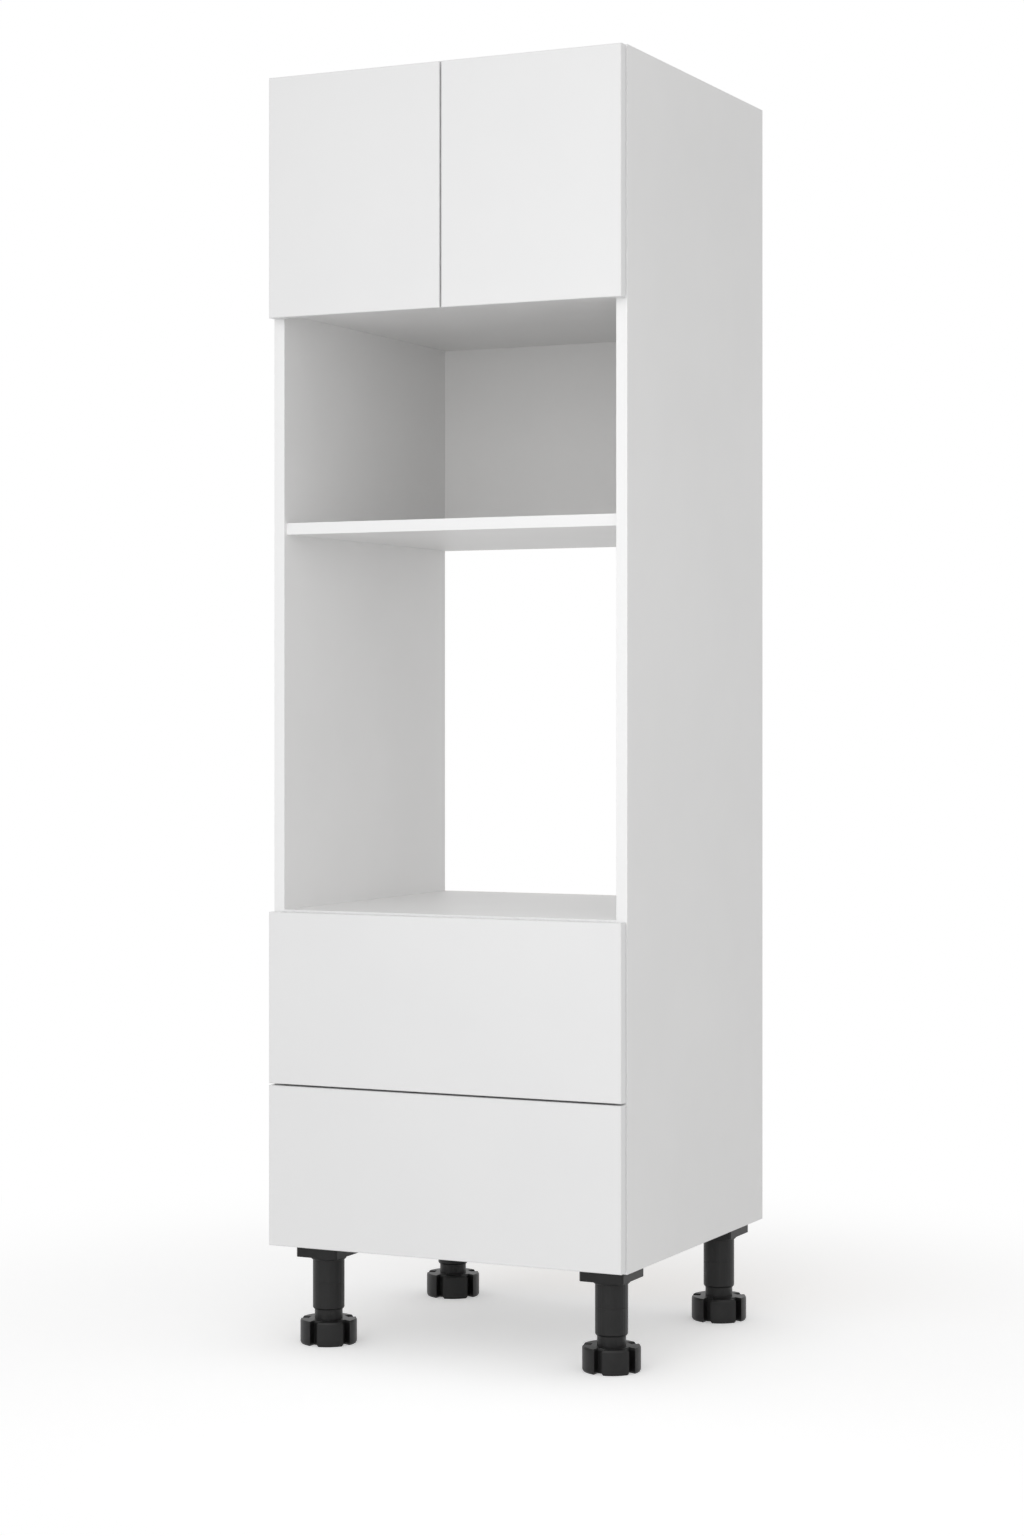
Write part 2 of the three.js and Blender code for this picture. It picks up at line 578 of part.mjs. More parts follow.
// The tube's profile, turned about its axis, from the top downwards.
function legTube(length) {
  const bore = LEG_STEM_RADIUS + LEG_STEM_CLEARANCE;
  const tube = LEG_TUBE_RADIUS;
  const seam = -length / 2;
  const profile = [
    [0, 0], [LEG_COLLAR_RADIUS, 0], [LEG_COLLAR_RADIUS, LEG_COLLAR_EASE - LEG_COLLAR_HEIGHT],
    [LEG_COLLAR_RADIUS - LEG_COLLAR_EASE, -LEG_COLLAR_HEIGHT], [tube, -LEG_COLLAR_HEIGHT],
    [tube, seam + LEG_SEAM], [tube - LEG_SEAM, seam], [tube, seam - LEG_SEAM],
    [tube, LEG_RIM_CHAMFER - length], [(tube + bore) / 2, -length], [bore, -length],
    [bore, -LEG_CAP], [0, -LEG_CAP],
  ];
  const form = new THREE.LatheGeometry(profile.reverse().map(([r, z]) => new THREE.Vector2(r, z)), LEG_SIDES);
  return form.rotateX(Math.PI / 2);
}

// The slots that a spanner turns the foot by run right through its rim.
function footOutline() {
  const shape = new THREE.Shape();
  const pitch = (2 * Math.PI) / FOOT_LOBES;
  const first = THREE.MathUtils.degToRad(FOOT_SLOT_TURN);
  const halfSlot = FOOT_SLOT_WIDTH / 2;
  const mouth = Math.asin(halfSlot / FOOT_RADIUS);
  const floor = FOOT_RADIUS - FOOT_SLOT_DEPTH;
  for (let lobe = 0; lobe < FOOT_LOBES; lobe += 1) {
    const slot = first + lobe * pitch;
    const [cos, sin] = [Math.cos(slot), Math.sin(slot)];
    const corner = (out, across) => [cos * out - sin * across, sin * out + cos * across];
    if (lobe === 0) {
      shape.moveTo(...corner(floor, -halfSlot));
    } else {
      shape.lineTo(...corner(floor, -halfSlot));
    }
    shape.lineTo(...corner(floor, halfSlot));
    shape.absarc(0, 0, FOOT_RADIUS, slot + mouth, slot + pitch - mouth, false);
  }
  shape.closePath();
  return shape;
}

function levellingFoot() {
  const stemTop = FOOT_HEIGHT + LEG_STEM_SHOWING + LEG_STEM_ENGAGED;
  const rim = new THREE.ExtrudeGeometry(footOutline(), {
    depth: FOOT_HEIGHT - 2 * FOOT_CHAMFER,
    bevelThickness: FOOT_CHAMFER,
    bevelSize: FOOT_CHAMFER / 2,
    bevelOffset: -FOOT_CHAMFER / 2,
    bevelSegments: 1,
    curveSegments: FOOT_LOBE_STEPS,
  });
  rim.translate(0, 0, FOOT_CHAMFER);
  const stem = uprightRod(0, 0, LEG_STEM_RADIUS, FOOT_HEIGHT / 2, stemTop, LEG_SIDES);
  const bore = uprightRod(0, 0, LEG_STEM_RADIUS - LEG_STEM_WALL, FOOT_HEIGHT, stemTop + OVERRUN, LEG_SIDES);
  return geometryOf(cut(joined([rim, stem]), [bore]));
}

function leg(name, x, y) {
  const group = new THREE.Group();
  group.position.set(x, y, 0);
  const tubeTop = toGrid(LEG_HEIGHT - LEG_PLATE_THICKNESS);
  const plate = piece(`${name}_leg_plate`, legPlate(), blackPlastic);
  plate.position.z = toGrid(LEG_HEIGHT);
  const tube = piece(`${name}_leg_tube`, legTube(tubeTop - FOOT_HEIGHT - LEG_STEM_SHOWING), blackPlastic);
  tube.position.z = tubeTop;
  const foot = piece(`${name}_levelling_foot`, levellingFoot(), blackPlastic);
  group.add(plate, tube, foot);
  return group;
}

function legs() {
  const group = new THREE.Group();
  const x = HALF_WIDTH - LEG_SIDE_INSET;
  const frontY = CARCASS_FRONT_Y + LEG_FRONT_INSET;
  const backY = BACK_Y - LEG_BACK_INSET;
  group.add(
    leg("front_left", -x, frontY),
    leg("front_right", x, frontY),
    leg("back_left", -x, backY),
    leg("back_right", x, backY),
  );
  return group;
}

const housing = new THREE.Group();
housing.add(
  carcass(),
  door("left", -1),
  door("right", 1),
  pushLatch("left", -1),
  pushLatch("right", 1),
  drawer("upper_drawer", UPPER_FRONT_BOTTOM, toGrid(DRAWERS_TOP), UPPER_FRONT_BOTTOM + DRAWER_RISE),
  drawer("lower_drawer", toGrid(DRAWERS_BOTTOM), LOWER_FRONT_TOP, LEG_HEIGHT + BOARD + DRAWER_RISE),
  legs(),
);

export default housing;
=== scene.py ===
"""Looks for a tall oven housing: white boards, steel fittings and black plastic legs.

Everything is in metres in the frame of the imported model. The floor is z = 0 and the
fronts face -Y.
"""

import math

import bmesh
import bpy
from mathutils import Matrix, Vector


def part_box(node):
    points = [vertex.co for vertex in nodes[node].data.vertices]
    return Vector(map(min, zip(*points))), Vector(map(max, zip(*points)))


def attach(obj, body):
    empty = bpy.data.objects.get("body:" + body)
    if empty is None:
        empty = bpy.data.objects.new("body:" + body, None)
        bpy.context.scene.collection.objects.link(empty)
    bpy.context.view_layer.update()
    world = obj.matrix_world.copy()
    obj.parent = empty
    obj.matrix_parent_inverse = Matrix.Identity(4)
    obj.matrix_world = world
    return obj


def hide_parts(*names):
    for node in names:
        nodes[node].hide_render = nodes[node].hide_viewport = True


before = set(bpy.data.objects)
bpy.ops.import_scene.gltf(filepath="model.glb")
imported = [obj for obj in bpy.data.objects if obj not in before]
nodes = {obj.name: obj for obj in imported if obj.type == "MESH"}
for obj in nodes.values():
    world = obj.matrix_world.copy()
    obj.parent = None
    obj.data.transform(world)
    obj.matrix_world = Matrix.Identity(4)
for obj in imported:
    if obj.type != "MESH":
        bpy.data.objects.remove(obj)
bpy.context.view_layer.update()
scene = bpy.context.scene
MM = 0.001


# ---------------------------------------------------------------------------
# The camera. It stands to the right of the middle at about waist height and looks level,
# so that all the uprights stay upright, and the frame is slid down a little instead.

PHOTO_HEIGHT = 1536
FOCAL_PIXELS = 3089
HORIZON_ROW = 710
CAMERA_PLACE = (2.1095, -4.4674, 0.9952)
CAMERA_TURN_DEGREES = 25.46
SENSOR_MILLIMETRES = 36
NEAREST_SEEN = 0.05
FARTHEST_SEEN = 200

camera_data = bpy.data.cameras.new("camera")
camera_data.sensor_width = SENSOR_MILLIMETRES
camera_data.lens = FOCAL_PIXELS / PHOTO_HEIGHT * SENSOR_MILLIMETRES
camera_data.shift_y = (HORIZON_ROW - PHOTO_HEIGHT / 2) / PHOTO_HEIGHT
camera_data.clip_start = NEAREST_SEEN
camera_data.clip_end = FARTHEST_SEEN
camera = bpy.data.objects.new("camera", camera_data)
camera.location = CAMERA_PLACE
camera.rotation_euler = (math.radians(90), 0, math.radians(CAMERA_TURN_DEGREES))
scene.collection.objects.link(camera)
scene.camera = camera


# ---------------------------------------------------------------------------
# The studio: a white room with a white floor, an even light from the front and a little
# above, and three softboxes. The floor keeps the shadow, and its faint glow lights nothing.

WORLD_LIGHT = 0.63
FLOOR_WHITE = (0.86, 0.86, 0.86, 1)
FLOOR_GLOW = 0.31
FLOOR_FADE = (0.3, 1.7)
FLOOR_HALF = 40

scene.view_settings.view_transform = "Standard"


def seen_rays(tree):
    """A factor of 1 for what the eye, a gloss or a glass sees, and 0 for what lights the room."""
    path = tree.nodes.new("ShaderNodeLightPath")
    eye_or_gloss = tree.nodes.new("ShaderNodeMath")
    eye_or_gloss.operation = "MAXIMUM"
    tree.links.new(path.outputs["Is Camera Ray"], eye_or_gloss.inputs[0])
    tree.links.new(path.outputs["Is Glossy Ray"], eye_or_gloss.inputs[1])
    any_seen = tree.nodes.new("ShaderNodeMath")
    any_seen.operation = "MAXIMUM"
    tree.links.new(eye_or_gloss.outputs[0], any_seen.inputs[0])
    tree.links.new(path.outputs["Is Transmission Ray"], any_seen.inputs[1])
    return any_seen.outputs[0]


def white_room():
    world = bpy.data.worlds.new("white_room")
    world.use_nodes = True
    tree = world.node_tree
    tree.nodes.clear()
    lighting = tree.nodes.new("ShaderNodeBackground")
    lighting.inputs["Color"].default_value = (1, 1, 1, 1)
    lighting.inputs["Strength"].default_value = WORLD_LIGHT
    seen = tree.nodes.new("ShaderNodeBackground")
    seen.inputs["Color"].default_value = (1, 1, 1, 1)
    seen.inputs["Strength"].default_value = 1
    mix = tree.nodes.new("ShaderNodeMixShader")
    output = tree.nodes.new("ShaderNodeOutputWorld")
    tree.links.new(seen_rays(tree), mix.inputs["Fac"])
    tree.links.new(lighting.outputs[0], mix.inputs[1])
    tree.links.new(seen.outputs[0], mix.inputs[2])
    tree.links.new(mix.outputs[0], output.inputs["Surface"])
    return world


def floor_paint():
    """Matt white. Away from the object it passes into the white of the room, as a cove does."""
    material = bpy.data.materials.new("white_floor")
    material.use_nodes = True
    tree = material.node_tree
    tree.nodes.clear()
    matt = tree.nodes.new("ShaderNodeBsdfDiffuse")
    matt.inputs["Color"].default_value = FLOOR_WHITE
    glow = tree.nodes.new("ShaderNodeEmission")
    glow.inputs["Color"].default_value = (1, 1, 1, 1)
    glow.inputs["Strength"].default_value = FLOOR_GLOW
    both = tree.nodes.new("ShaderNodeAddShader")
    white = tree.nodes.new("ShaderNodeEmission")
    white.inputs["Color"].default_value = (1, 1, 1, 1)
    white.inputs["Strength"].default_value = 1
    coordinates = tree.nodes.new("ShaderNodeTexCoord")
    distance = tree.nodes.new("ShaderNodeVectorMath")
    distance.operation = "LENGTH"
    fade = tree.nodes.new("ShaderNodeMapRange")
    fade.interpolation_type = "SMOOTHERSTEP"
    fade.inputs["From Min"].default_value = FLOOR_FADE[0]
    fade.inputs["From Max"].default_value = FLOOR_FADE[1]
    faded = tree.nodes.new("ShaderNodeMixShader")
    mix = tree.nodes.new("ShaderNodeMixShader")
    output = tree.nodes.new("ShaderNodeOutputMaterial")
    tree.links.new(matt.outputs[0], both.inputs[0])
    tree.links.new(glow.outputs[0], both.inputs[1])
    tree.links.new(coordinates.outputs["Object"], distance.inputs[0])
    tree.links.new(distance.outputs["Value"], fade.inputs["Value"])
    tree.links.new(fade.outputs["Result"], faded.inputs["Fac"])
    tree.links.new(both.outputs[0], faded.inputs[1])
    tree.links.new(white.outputs[0], faded.inputs[2])
    tree.links.new(seen_rays(tree), mix.inputs["Fac"])
    tree.links.new(matt.outputs[0], mix.inputs[1])
    tree.links.new(faded.outputs[0], mix.inputs[2])
    tree.links.new(mix.outputs[0], output.inputs["Surface"])
    return material


def mesh_object(name, bm, material):
    """A new object at the origin from a bmesh, with one material."""
    mesh = bpy.data.meshes.new(name)
    bm.to_mesh(mesh)
    bm.free()
    mesh.materials.append(material)
    made = bpy.data.objects.new(name, mesh)
    scene.collection.objects.link(made)
    return made


def lamp(name, place, target, size, strength):
    """A square softbox that faces its target. Strength is in watts."""
    data = bpy.data.lights.new(name, "AREA")
    data.shape = "SQUARE"
    data.size = size
    data.energy = strength
    light = bpy.data.objects.new(name, data)
    light.location = place
    light.rotation_euler = (Vector(target) - Vector(place)).to_track_quat("-Z", "Y").to_euler()
    scene.collection.objects.link(light)


def sky_light(name, azimuth, elevation, spread, strength):
    """An even light from one side of the room, with very soft shadows. Angles in degrees."""
    data = bpy.data.lights.new(name, "SUN")
    data.angle = math.radians(spread)
    data.energy = strength
    light = bpy.data.objects.new(name, data)
    turn, lift = math.radians(azimuth), math.radians(elevation)
    towards = Vector((math.sin(turn) * math.cos(lift), -math.cos(turn) * math.cos(lift), math.sin(lift)))
    light.rotation_euler = (-towards).to_track_quat("-Z", "Y").to_euler()
    scene.collection.objects.link(light)


scene.world = white_room()
bm = bmesh.new()
bmesh.ops.create_grid(bm, x_segments=1, y_segments=1, size=FLOOR_HALF)
floor = mesh_object("floor", bm, floor_paint())
sky_light("front_light", azimuth=0, elevation=12, spread=60, strength=0.64)
lamp("right_softbox", place=(1.3, -1.5, 1.2), target=(0.3, 0, 1.0), size=1.6, strength=4.4)
lamp("front_softbox", place=(0.2, -1.6, 1.3), target=(0, 0, 1.0), size=0.8, strength=2.5)
lamp("upper_softbox", place=(0.5, -1.5, 2.6), target=(0, 0, 0.9), size=1.2, strength=1.9)


# ---------------------------------------------------------------------------
# The carcass boards: 18 mm chipboard with white melamine on both faces and a 1 mm edge
# band on every front edge. The side panels' ends and rear edges are left as sawn.

BOARD_WHITE = (0.853, 0.85, 0.846, 1)
BOARD_GREY = (0.829, 0.826, 0.822, 1)
# The edge band is a little whiter than the board: partly its own tone, partly a painted highlight for
# the light that the front edges catch.
BAND_WHITE_WITH_HIGHLIGHT = (0.875, 0.875, 0.875, 1)
BAND_THICKNESS = 1 * MM
GLUE_LINE = 0.12 * MM
SCRAPED_EDGE = 0.5 * MM
EDGE_SAMPLES = 4
GLUE_GREY = (0.55, 0.55, 0.54, 1)
CHIP_LIGHT = (0.60, 0.44, 0.27, 1)
CHIP_DARK = (0.30, 0.19, 0.10, 1)

# A face looks along an axis when at least this much of its normal does.
SQUARE_ON = 0.5


def new_material(name):
    """A material with a Principled shader. Returns the material, its tree and the shader."""
    material = bpy.data.materials.new(name)
    material.use_nodes = True
    tree = material.node_tree
    shader = tree.nodes["Principled BSDF"]
    return material, tree, shader


def own_place(tree):
    """The point on the piece, in metres from the model's origin."""
    return tree.nodes.new("ShaderNodeTexCoord").outputs["Object"]


def part_of(tree, vector, axis):
    node = tree.nodes.new("ShaderNodeSeparateXYZ")
    tree.links.new(vector, node.inputs[0])
    return node.outputs[axis]


def calculate(tree, operation, first, second):
    """One sum on a factor and a number or another factor."""
    node = tree.nodes.new("ShaderNodeMath")
    node.operation = operation
    tree.links.new(first, node.inputs[0])
    if isinstance(second, (int, float)):
        node.inputs[1].default_value = second
    else:
        tree.links.new(second, node.inputs[1])
    return node.outputs[0]


def noise(tree, place, scale, detail=2.0, roughness=0.5):
    node = tree.nodes.new("ShaderNodeTexNoise")
    node.inputs["Scale"].default_value = scale
    node.inputs["Detail"].default_value = detail
    node.inputs["Roughness"].default_value = roughness
    tree.links.new(place, node.inputs["Vector"])
    return node.outputs["Fac"]


def ramp(tree, factor, low, high, start=0.0, end=1.0):
    """Blends two colours as a factor goes from start to end."""
    node = tree.nodes.new("ShaderNodeValToRGB")
    node.color_ramp.elements[0].position = start
    node.color_ramp.elements[0].color = low
    node.color_ramp.elements[1].position = end
    node.color_ramp.elements[1].color = high
    tree.links.new(factor, node.inputs["Fac"])
    return node.outputs["Color"]


def spread_value(tree, factor, low, high):
    """Turns a 0 to 1 factor into a value from low to high."""
    node = tree.nodes.new("ShaderNodeMapRange")
    node.inputs["To Min"].default_value = low
    node.inputs["To Max"].default_value = high
    tree.links.new(factor, node.inputs["Value"])
    return node.outputs["Result"]


def bump(tree, height, strength, distance, under=None):
    node = tree.nodes.new("ShaderNodeBump")
    node.inputs["Strength"].default_value = strength
    node.inputs["Distance"].default_value = distance
    tree.links.new(height, node.inputs["Height"])
    if under is not None:
        tree.links.new(under, node.inputs["Normal"])
    return node.outputs["Normal"]


def painted_over(tree, factor, under, over):
    """One colour over another where the factor is 1."""
    node = tree.nodes.new("ShaderNodeMix")
    node.data_type = "RGBA"
    tree.links.new(factor, node.inputs["Factor"])
    tree.links.new(under, node.inputs["A"])
    if isinstance(over, tuple):
        node.inputs["B"].default_value = over
    else:
        tree.links.new(over, node.inputs["B"])
    return node.outputs["Result"]


def eased_edges(tree, radius):
    """The slight rounding that scraping, moulding or pressing leaves on every sharp edge."""
    node = tree.nodes.new("ShaderNodeBevel")
    node.samples = EDGE_SAMPLES
    node.inputs["Radius"].default_value = radius
    return node.outputs["Normal"]


def melamine_finish(tree, place, shader, roughness=(0.42, 0.52)):
    """The pearl texture of pressed melamine: fine bumps, long soft waves and uneven gloss."""
    pearl = noise(tree, place, scale=900, detail=2)
    waves = noise(tree, place, scale=60, detail=1)
    scraped = eased_edges(tree, SCRAPED_EDGE)
    soft = bump(tree, waves, strength=0.08, distance=0.2 * MM, under=scraped)
    fine = bump(tree, pearl, strength=0.18, distance=0.1 * MM, under=soft)
    tree.links.new(fine, shader.inputs["Normal"])
    tree.links.new(spread_value(tree, pearl, *roughness), shader.inputs["Roughness"])
    shader.inputs["Specular IOR Level"].default_value = 0.4


def chip_colour(tree, place):
    """Sawn chipboard: coarse pale chips in darker glue."""
    chips = tree.nodes.new("ShaderNodeTexVoronoi")
    chips.inputs["Scale"].default_value = 420
    tree.links.new(place, chips.inputs["Vector"])
    grit = noise(tree, place, scale=700, detail=4, roughness=0.7)
    mixed = calculate(tree, "MULTIPLY", chips.outputs["Distance"], grit)
    return ramp(tree, mixed, CHIP_LIGHT, CHIP_DARK, 0.08, 0.5)


def banded_board(name, front, sawn=False):
    """A melamine board whose front edge, at y = front, has an edge band glued on."""
    material, tree, shader = new_material(name)
    place = own_place(tree)
    facing = tree.nodes.new("ShaderNodeTexCoord").outputs["Normal"]
    colour = ramp(tree, noise(tree, place, scale=5, detail=3), BOARD_GREY, BOARD_WHITE, 0.3, 0.7)
    from_glue = calculate(tree, "SUBTRACT", part_of(tree, place, "Y"), front + BAND_THICKNESS)
    on_glue = calculate(tree, "LESS_THAN", calculate(tree, "ABSOLUTE", from_glue, 0), GLUE_LINE / 2)
    colour = painted_over(tree, on_glue, colour, GLUE_GREY)
    # Faces that look to the front get the edge band's white, which is partly a painted highlight.
    band_and_highlight = calculate(tree, "LESS_THAN", part_of(tree, facing, "Y"), -SQUARE_ON)
    colour = painted_over(tree, band_and_highlight, colour, BAND_WHITE_WITH_HIGHLIGHT)
    if sawn:
        upright = calculate(tree, "ABSOLUTE", part_of(tree, facing, "Z"), 0)
        on_end = calculate(tree, "GREATER_THAN", upright, SQUARE_ON)
        on_rear = calculate(tree, "GREATER_THAN", part_of(tree, facing, "Y"), SQUARE_ON)
        bare = calculate(tree, "MAXIMUM", on_end, on_rear)
        colour = painted_over(tree, bare, colour, chip_colour(tree, place))
    tree.links.new(colour, shader.inputs["Base Color"])
    melamine_finish(tree, place, shader)
    return material


def dress(names, material):
    """Gives CAD nodes one material."""
    for name in names:
        slots = nodes[name].data.materials
        slots.clear()
        slots.append(material)


SIDE_PANELS = ("left_side_panel", "right_side_panel")
DEEP_BOARDS = ("bottom_panel", "oven_deck", "cupboard_floor", "top_panel")
carcass_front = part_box("left_side_panel")[0].y
shelf_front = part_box("microwave_shelf")[0].y
dress(SIDE_PANELS, banded_board("side_panel_board", carcass_front, sawn=True))
dress(DEEP_BOARDS, banded_board("level_board", carcass_front))
dress(("microwave_shelf",), banded_board("shelf_board", shelf_front))


# ---------------------------------------------------------------------------
# The back panels: 3 mm fibreboard, white on the face that shows inside and natural behind.
# They lie in the side panels' rebates and are nailed all round.

BACK_WHITE = (0.862, 0.858, 0.852, 1)
BACK_GREY = (0.835, 0.831, 0.825, 1)
FIBRE_LIGHT = (0.50, 0.37, 0.24, 1)
FIBRE_DARK = (0.39, 0.28, 0.17, 1)
STEEL = (0.62, 0.62, 0.63, 1)
PRESSED_EDGE = 0.3 * MM
CLOUD_SHADE = 0.86
PIN_SIDES = 12
PIN_HEAD_RADIUS = 2.0 * MM
PIN_STANDS = 0.3 * MM
PIN_SPACING = 110 * MM
PIN_FROM_SIDE = 6 * MM
PIN_FROM_END = 9 * MM


def fibreboard():
    """Pressed fibreboard: felted fibres behind, white lacquer on the face towards the front."""
    material, tree, shader = new_material("back_fibreboard")
    place = own_place(tree)
    facing = tree.nodes.new("ShaderNodeTexCoord").outputs["Normal"]
    felt = noise(tree, place, scale=240, detail=8, roughness=0.75)
    clouds = noise(tree, place, scale=4, detail=3)
    mixed = calculate(tree, "MULTIPLY", felt, calculate(tree, "ADD", clouds, 0.5))
    natural = ramp(tree, mixed, FIBRE_DARK, FIBRE_LIGHT, 0.25, 0.75)
    lacquer = ramp(tree, clouds, BACK_GREY, BACK_WHITE, 0.3, 0.7)
    on_face = calculate(tree, "LESS_THAN", part_of(tree, facing, "Y"), -SQUARE_ON)
    tree.links.new(painted_over(tree, on_face, natural, lacquer), shader.inputs["Base Color"])
    melamine_finish(tree, place, shader, roughness=(0.5, 0.62))
    return material


def bright_metal(name, colour, roughness=(0.24, 0.38), grain=160):
    """Plated steel or cast zinc: cloudy colour and gloss, and small handling marks."""
    material, tree, shader = new_material(name)
    place = own_place(tree)
    cloudy = noise(tree, place, scale=grain, detail=4, roughness=0.65)
    marks = noise(tree, place, scale=1100, detail=2)
    darker = tuple(CLOUD_SHADE * part for part in colour[:3]) + (1,)
    tree.links.new(ramp(tree, cloudy, darker, colour, 0.35, 0.65), shader.inputs["Base Color"])
    tree.links.new(spread_value(tree, cloudy, *roughness), shader.inputs["Roughness"])
    pressed = eased_edges(tree, PRESSED_EDGE)
    marked = bump(tree, marks, strength=0.12, distance=0.1 * MM, under=pressed)
    tree.links.new(marked, shader.inputs["Normal"])
    shader.inputs["Metallic"].default_value = 1
    return material


def shape_tree(name, sizes):
    """An empty Geometry Nodes tree with one named size input for each entry."""
    tree = bpy.data.node_groups.new(name, "GeometryNodeTree")
    tree.interface.new_socket("Geometry", in_out="INPUT", socket_type="NodeSocketGeometry")
    tree.interface.new_socket("Geometry", in_out="OUTPUT", socket_type="NodeSocketGeometry")
    for size in sizes:
        tree.interface.new_socket(size, in_out="INPUT", socket_type="NodeSocketFloat")
    tree.interface.new_socket("Finish", in_out="INPUT", socket_type="NodeSocketMaterial")
    start = tree.nodes.new("NodeGroupInput")
    return tree, start


def end_tree(tree, start, instances):
    """Ends a tree in real faces with the finish on them."""
    real = tree.nodes.new("GeometryNodeRealizeInstances")
    finish = tree.nodes.new("GeometryNodeSetMaterial")
    output = tree.nodes.new("NodeGroupOutput")
    tree.links.new(instances, real.inputs["Geometry"])
    tree.links.new(real.outputs["Geometry"], finish.inputs["Geometry"])
    tree.links.new(start.outputs["Finish"], finish.inputs["Material"])
    tree.links.new(finish.outputs["Geometry"], output.inputs["Geometry"])


def panel_pin_tree():
    """Pin heads at even steps along every edge of a flat frame drawn in the mesh."""
    tree, start = shape_tree("panel_pins", ("Head Radius", "Stands", "Spacing"))
    line = tree.nodes.new("GeometryNodeMeshToCurve")
    points = tree.nodes.new("GeometryNodeCurveToPoints")
    points.mode = "LENGTH"
    head = tree.nodes.new("GeometryNodeMeshCylinder")
    head.inputs["Vertices"].default_value = PIN_SIDES
    lying = tree.nodes.new("GeometryNodeTransform")
    lying.inputs["Rotation"].default_value = (math.radians(90), 0, 0)
    place = tree.nodes.new("GeometryNodeInstanceOnPoints")
    tree.links.new(start.outputs["Geometry"], line.inputs["Mesh"])
    tree.links.new(line.outputs["Curve"], points.inputs["Curve"])
    tree.links.new(start.outputs["Spacing"], points.inputs["Length"])
    tree.links.new(start.outputs["Head Radius"], head.inputs["Radius"])
    tree.links.new(start.outputs["Stands"], head.inputs["Depth"])
    tree.links.new(head.outputs["Mesh"], lying.inputs["Geometry"])
    tree.links.new(points.outputs["Points"], place.inputs["Points"])
    tree.links.new(lying.outputs["Geometry"], place.inputs["Instance"])
    end_tree(tree, start, place.outputs["Instances"])
    return tree


def grown(name, host_mesh, tree, inputs, body):
    """Runs a Geometry Nodes tree on a host mesh. The plain mesh it leaves rides on a body."""
    host = bpy.data.objects.new(name + "_host", host_mesh)
    scene.collection.objects.link(host)
    modifier = host.modifiers.new("shape", "NODES")
    modifier.node_group = tree
    for socket in tree.interface.items_tree:
        if socket.in_out == "INPUT" and socket.name in inputs:
            modifier[socket.identifier] = inputs[socket.name]
    shaped = host.evaluated_get(bpy.context.evaluated_depsgraph_get())
    mesh = bpy.data.meshes.new_from_object(shaped)
    mesh.name = name
    bpy.data.objects.remove(host)
    piece = bpy.data.objects.new(name, mesh)
    scene.collection.objects.link(piece)
    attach(piece, body)
    return piece


dress(("upper_back_panel", "lower_back_panel"), fibreboard())
bright_zinc = bright_metal("bright_zinc", STEEL)
panel_pins = panel_pin_tree()
for panel in ("upper_back_panel", "lower_back_panel"):
    low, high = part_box(panel)
    rear = high.y + PIN_STANDS / 2
    left, right = low.x + PIN_FROM_SIDE, high.x - PIN_FROM_SIDE
    bottom, top = low.z + PIN_FROM_END, high.z - PIN_FROM_END
    corners = [(left, rear, bottom), (right, rear, bottom), (right, rear, top), (left, rear, top)]
    frame_mesh = bpy.data.meshes.new(panel + "_nail_line")
    frame_mesh.from_pydata(corners, [(0, 1), (1, 2), (2, 3), (3, 0)], [])
    sizes = {
        "Head Radius": PIN_HEAD_RADIUS,
        "Stands": PIN_STANDS,
        "Spacing": PIN_SPACING,
        "Finish": bright_zinc,
    }
    grown(panel + "_pins", frame_mesh, panel_pins, sizes, "carcass")


# ---------------------------------------------------------------------------
# The doors and drawer fronts: 18 mm board, matt white all round, with a hair-thin radius
# and a glue line where the edge band meets the faces.

FRONT_WHITE = (0.825, 0.825, 0.825, 1)
FRONT_GREY = (0.81, 0.81, 0.812, 1)


def front_board(name, low, high):
    """A front's finish. Its glue line runs round both faces, one band thickness in."""
    material, tree, shader = new_material(name)
    place = own_place(tree)
    colour = ramp(tree, noise(tree, place, scale=5, detail=3), FRONT_GREY, FRONT_WHITE, 0.3, 0.7)
    middle = (low + high) / 2
    half = (high - low) / 2
    across = calculate(tree, "SUBTRACT", part_of(tree, place, "X"), middle.x)
    upwards = calculate(tree, "SUBTRACT", part_of(tree, place, "Z"), middle.z)
    inset_x = calculate(tree, "SUBTRACT", calculate(tree, "ABSOLUTE", across, 0), half.x)
    inset_z = calculate(tree, "SUBTRACT", calculate(tree, "ABSOLUTE", upwards, 0), half.z)
    inset = calculate(tree, "ADD", calculate(tree, "MAXIMUM", inset_x, inset_z), BAND_THICKNESS)
    on_glue = calculate(tree, "LESS_THAN", calculate(tree, "ABSOLUTE", inset, 0), GLUE_LINE / 2)
    tree.links.new(painted_over(tree, on_glue, colour, GLUE_GREY), shader.inputs["Base Color"])
    melamine_finish(tree, place, shader)
    return material


for front in ("left_door", "right_door", "upper_drawer_front", "lower_drawer_front"):
    dress((front,), front_board(front + "_board", *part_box(front)))


# ---------------------------------------------------------------------------
# The concealed hinges: a pressed cup in the door, a gooseneck link and an arm on a plate.
# Each has two screws in the cup's flange, two in the plate's wings and two in the arm. The
# arm's crest and shoulder are given by their setback and by their rise over the plate.

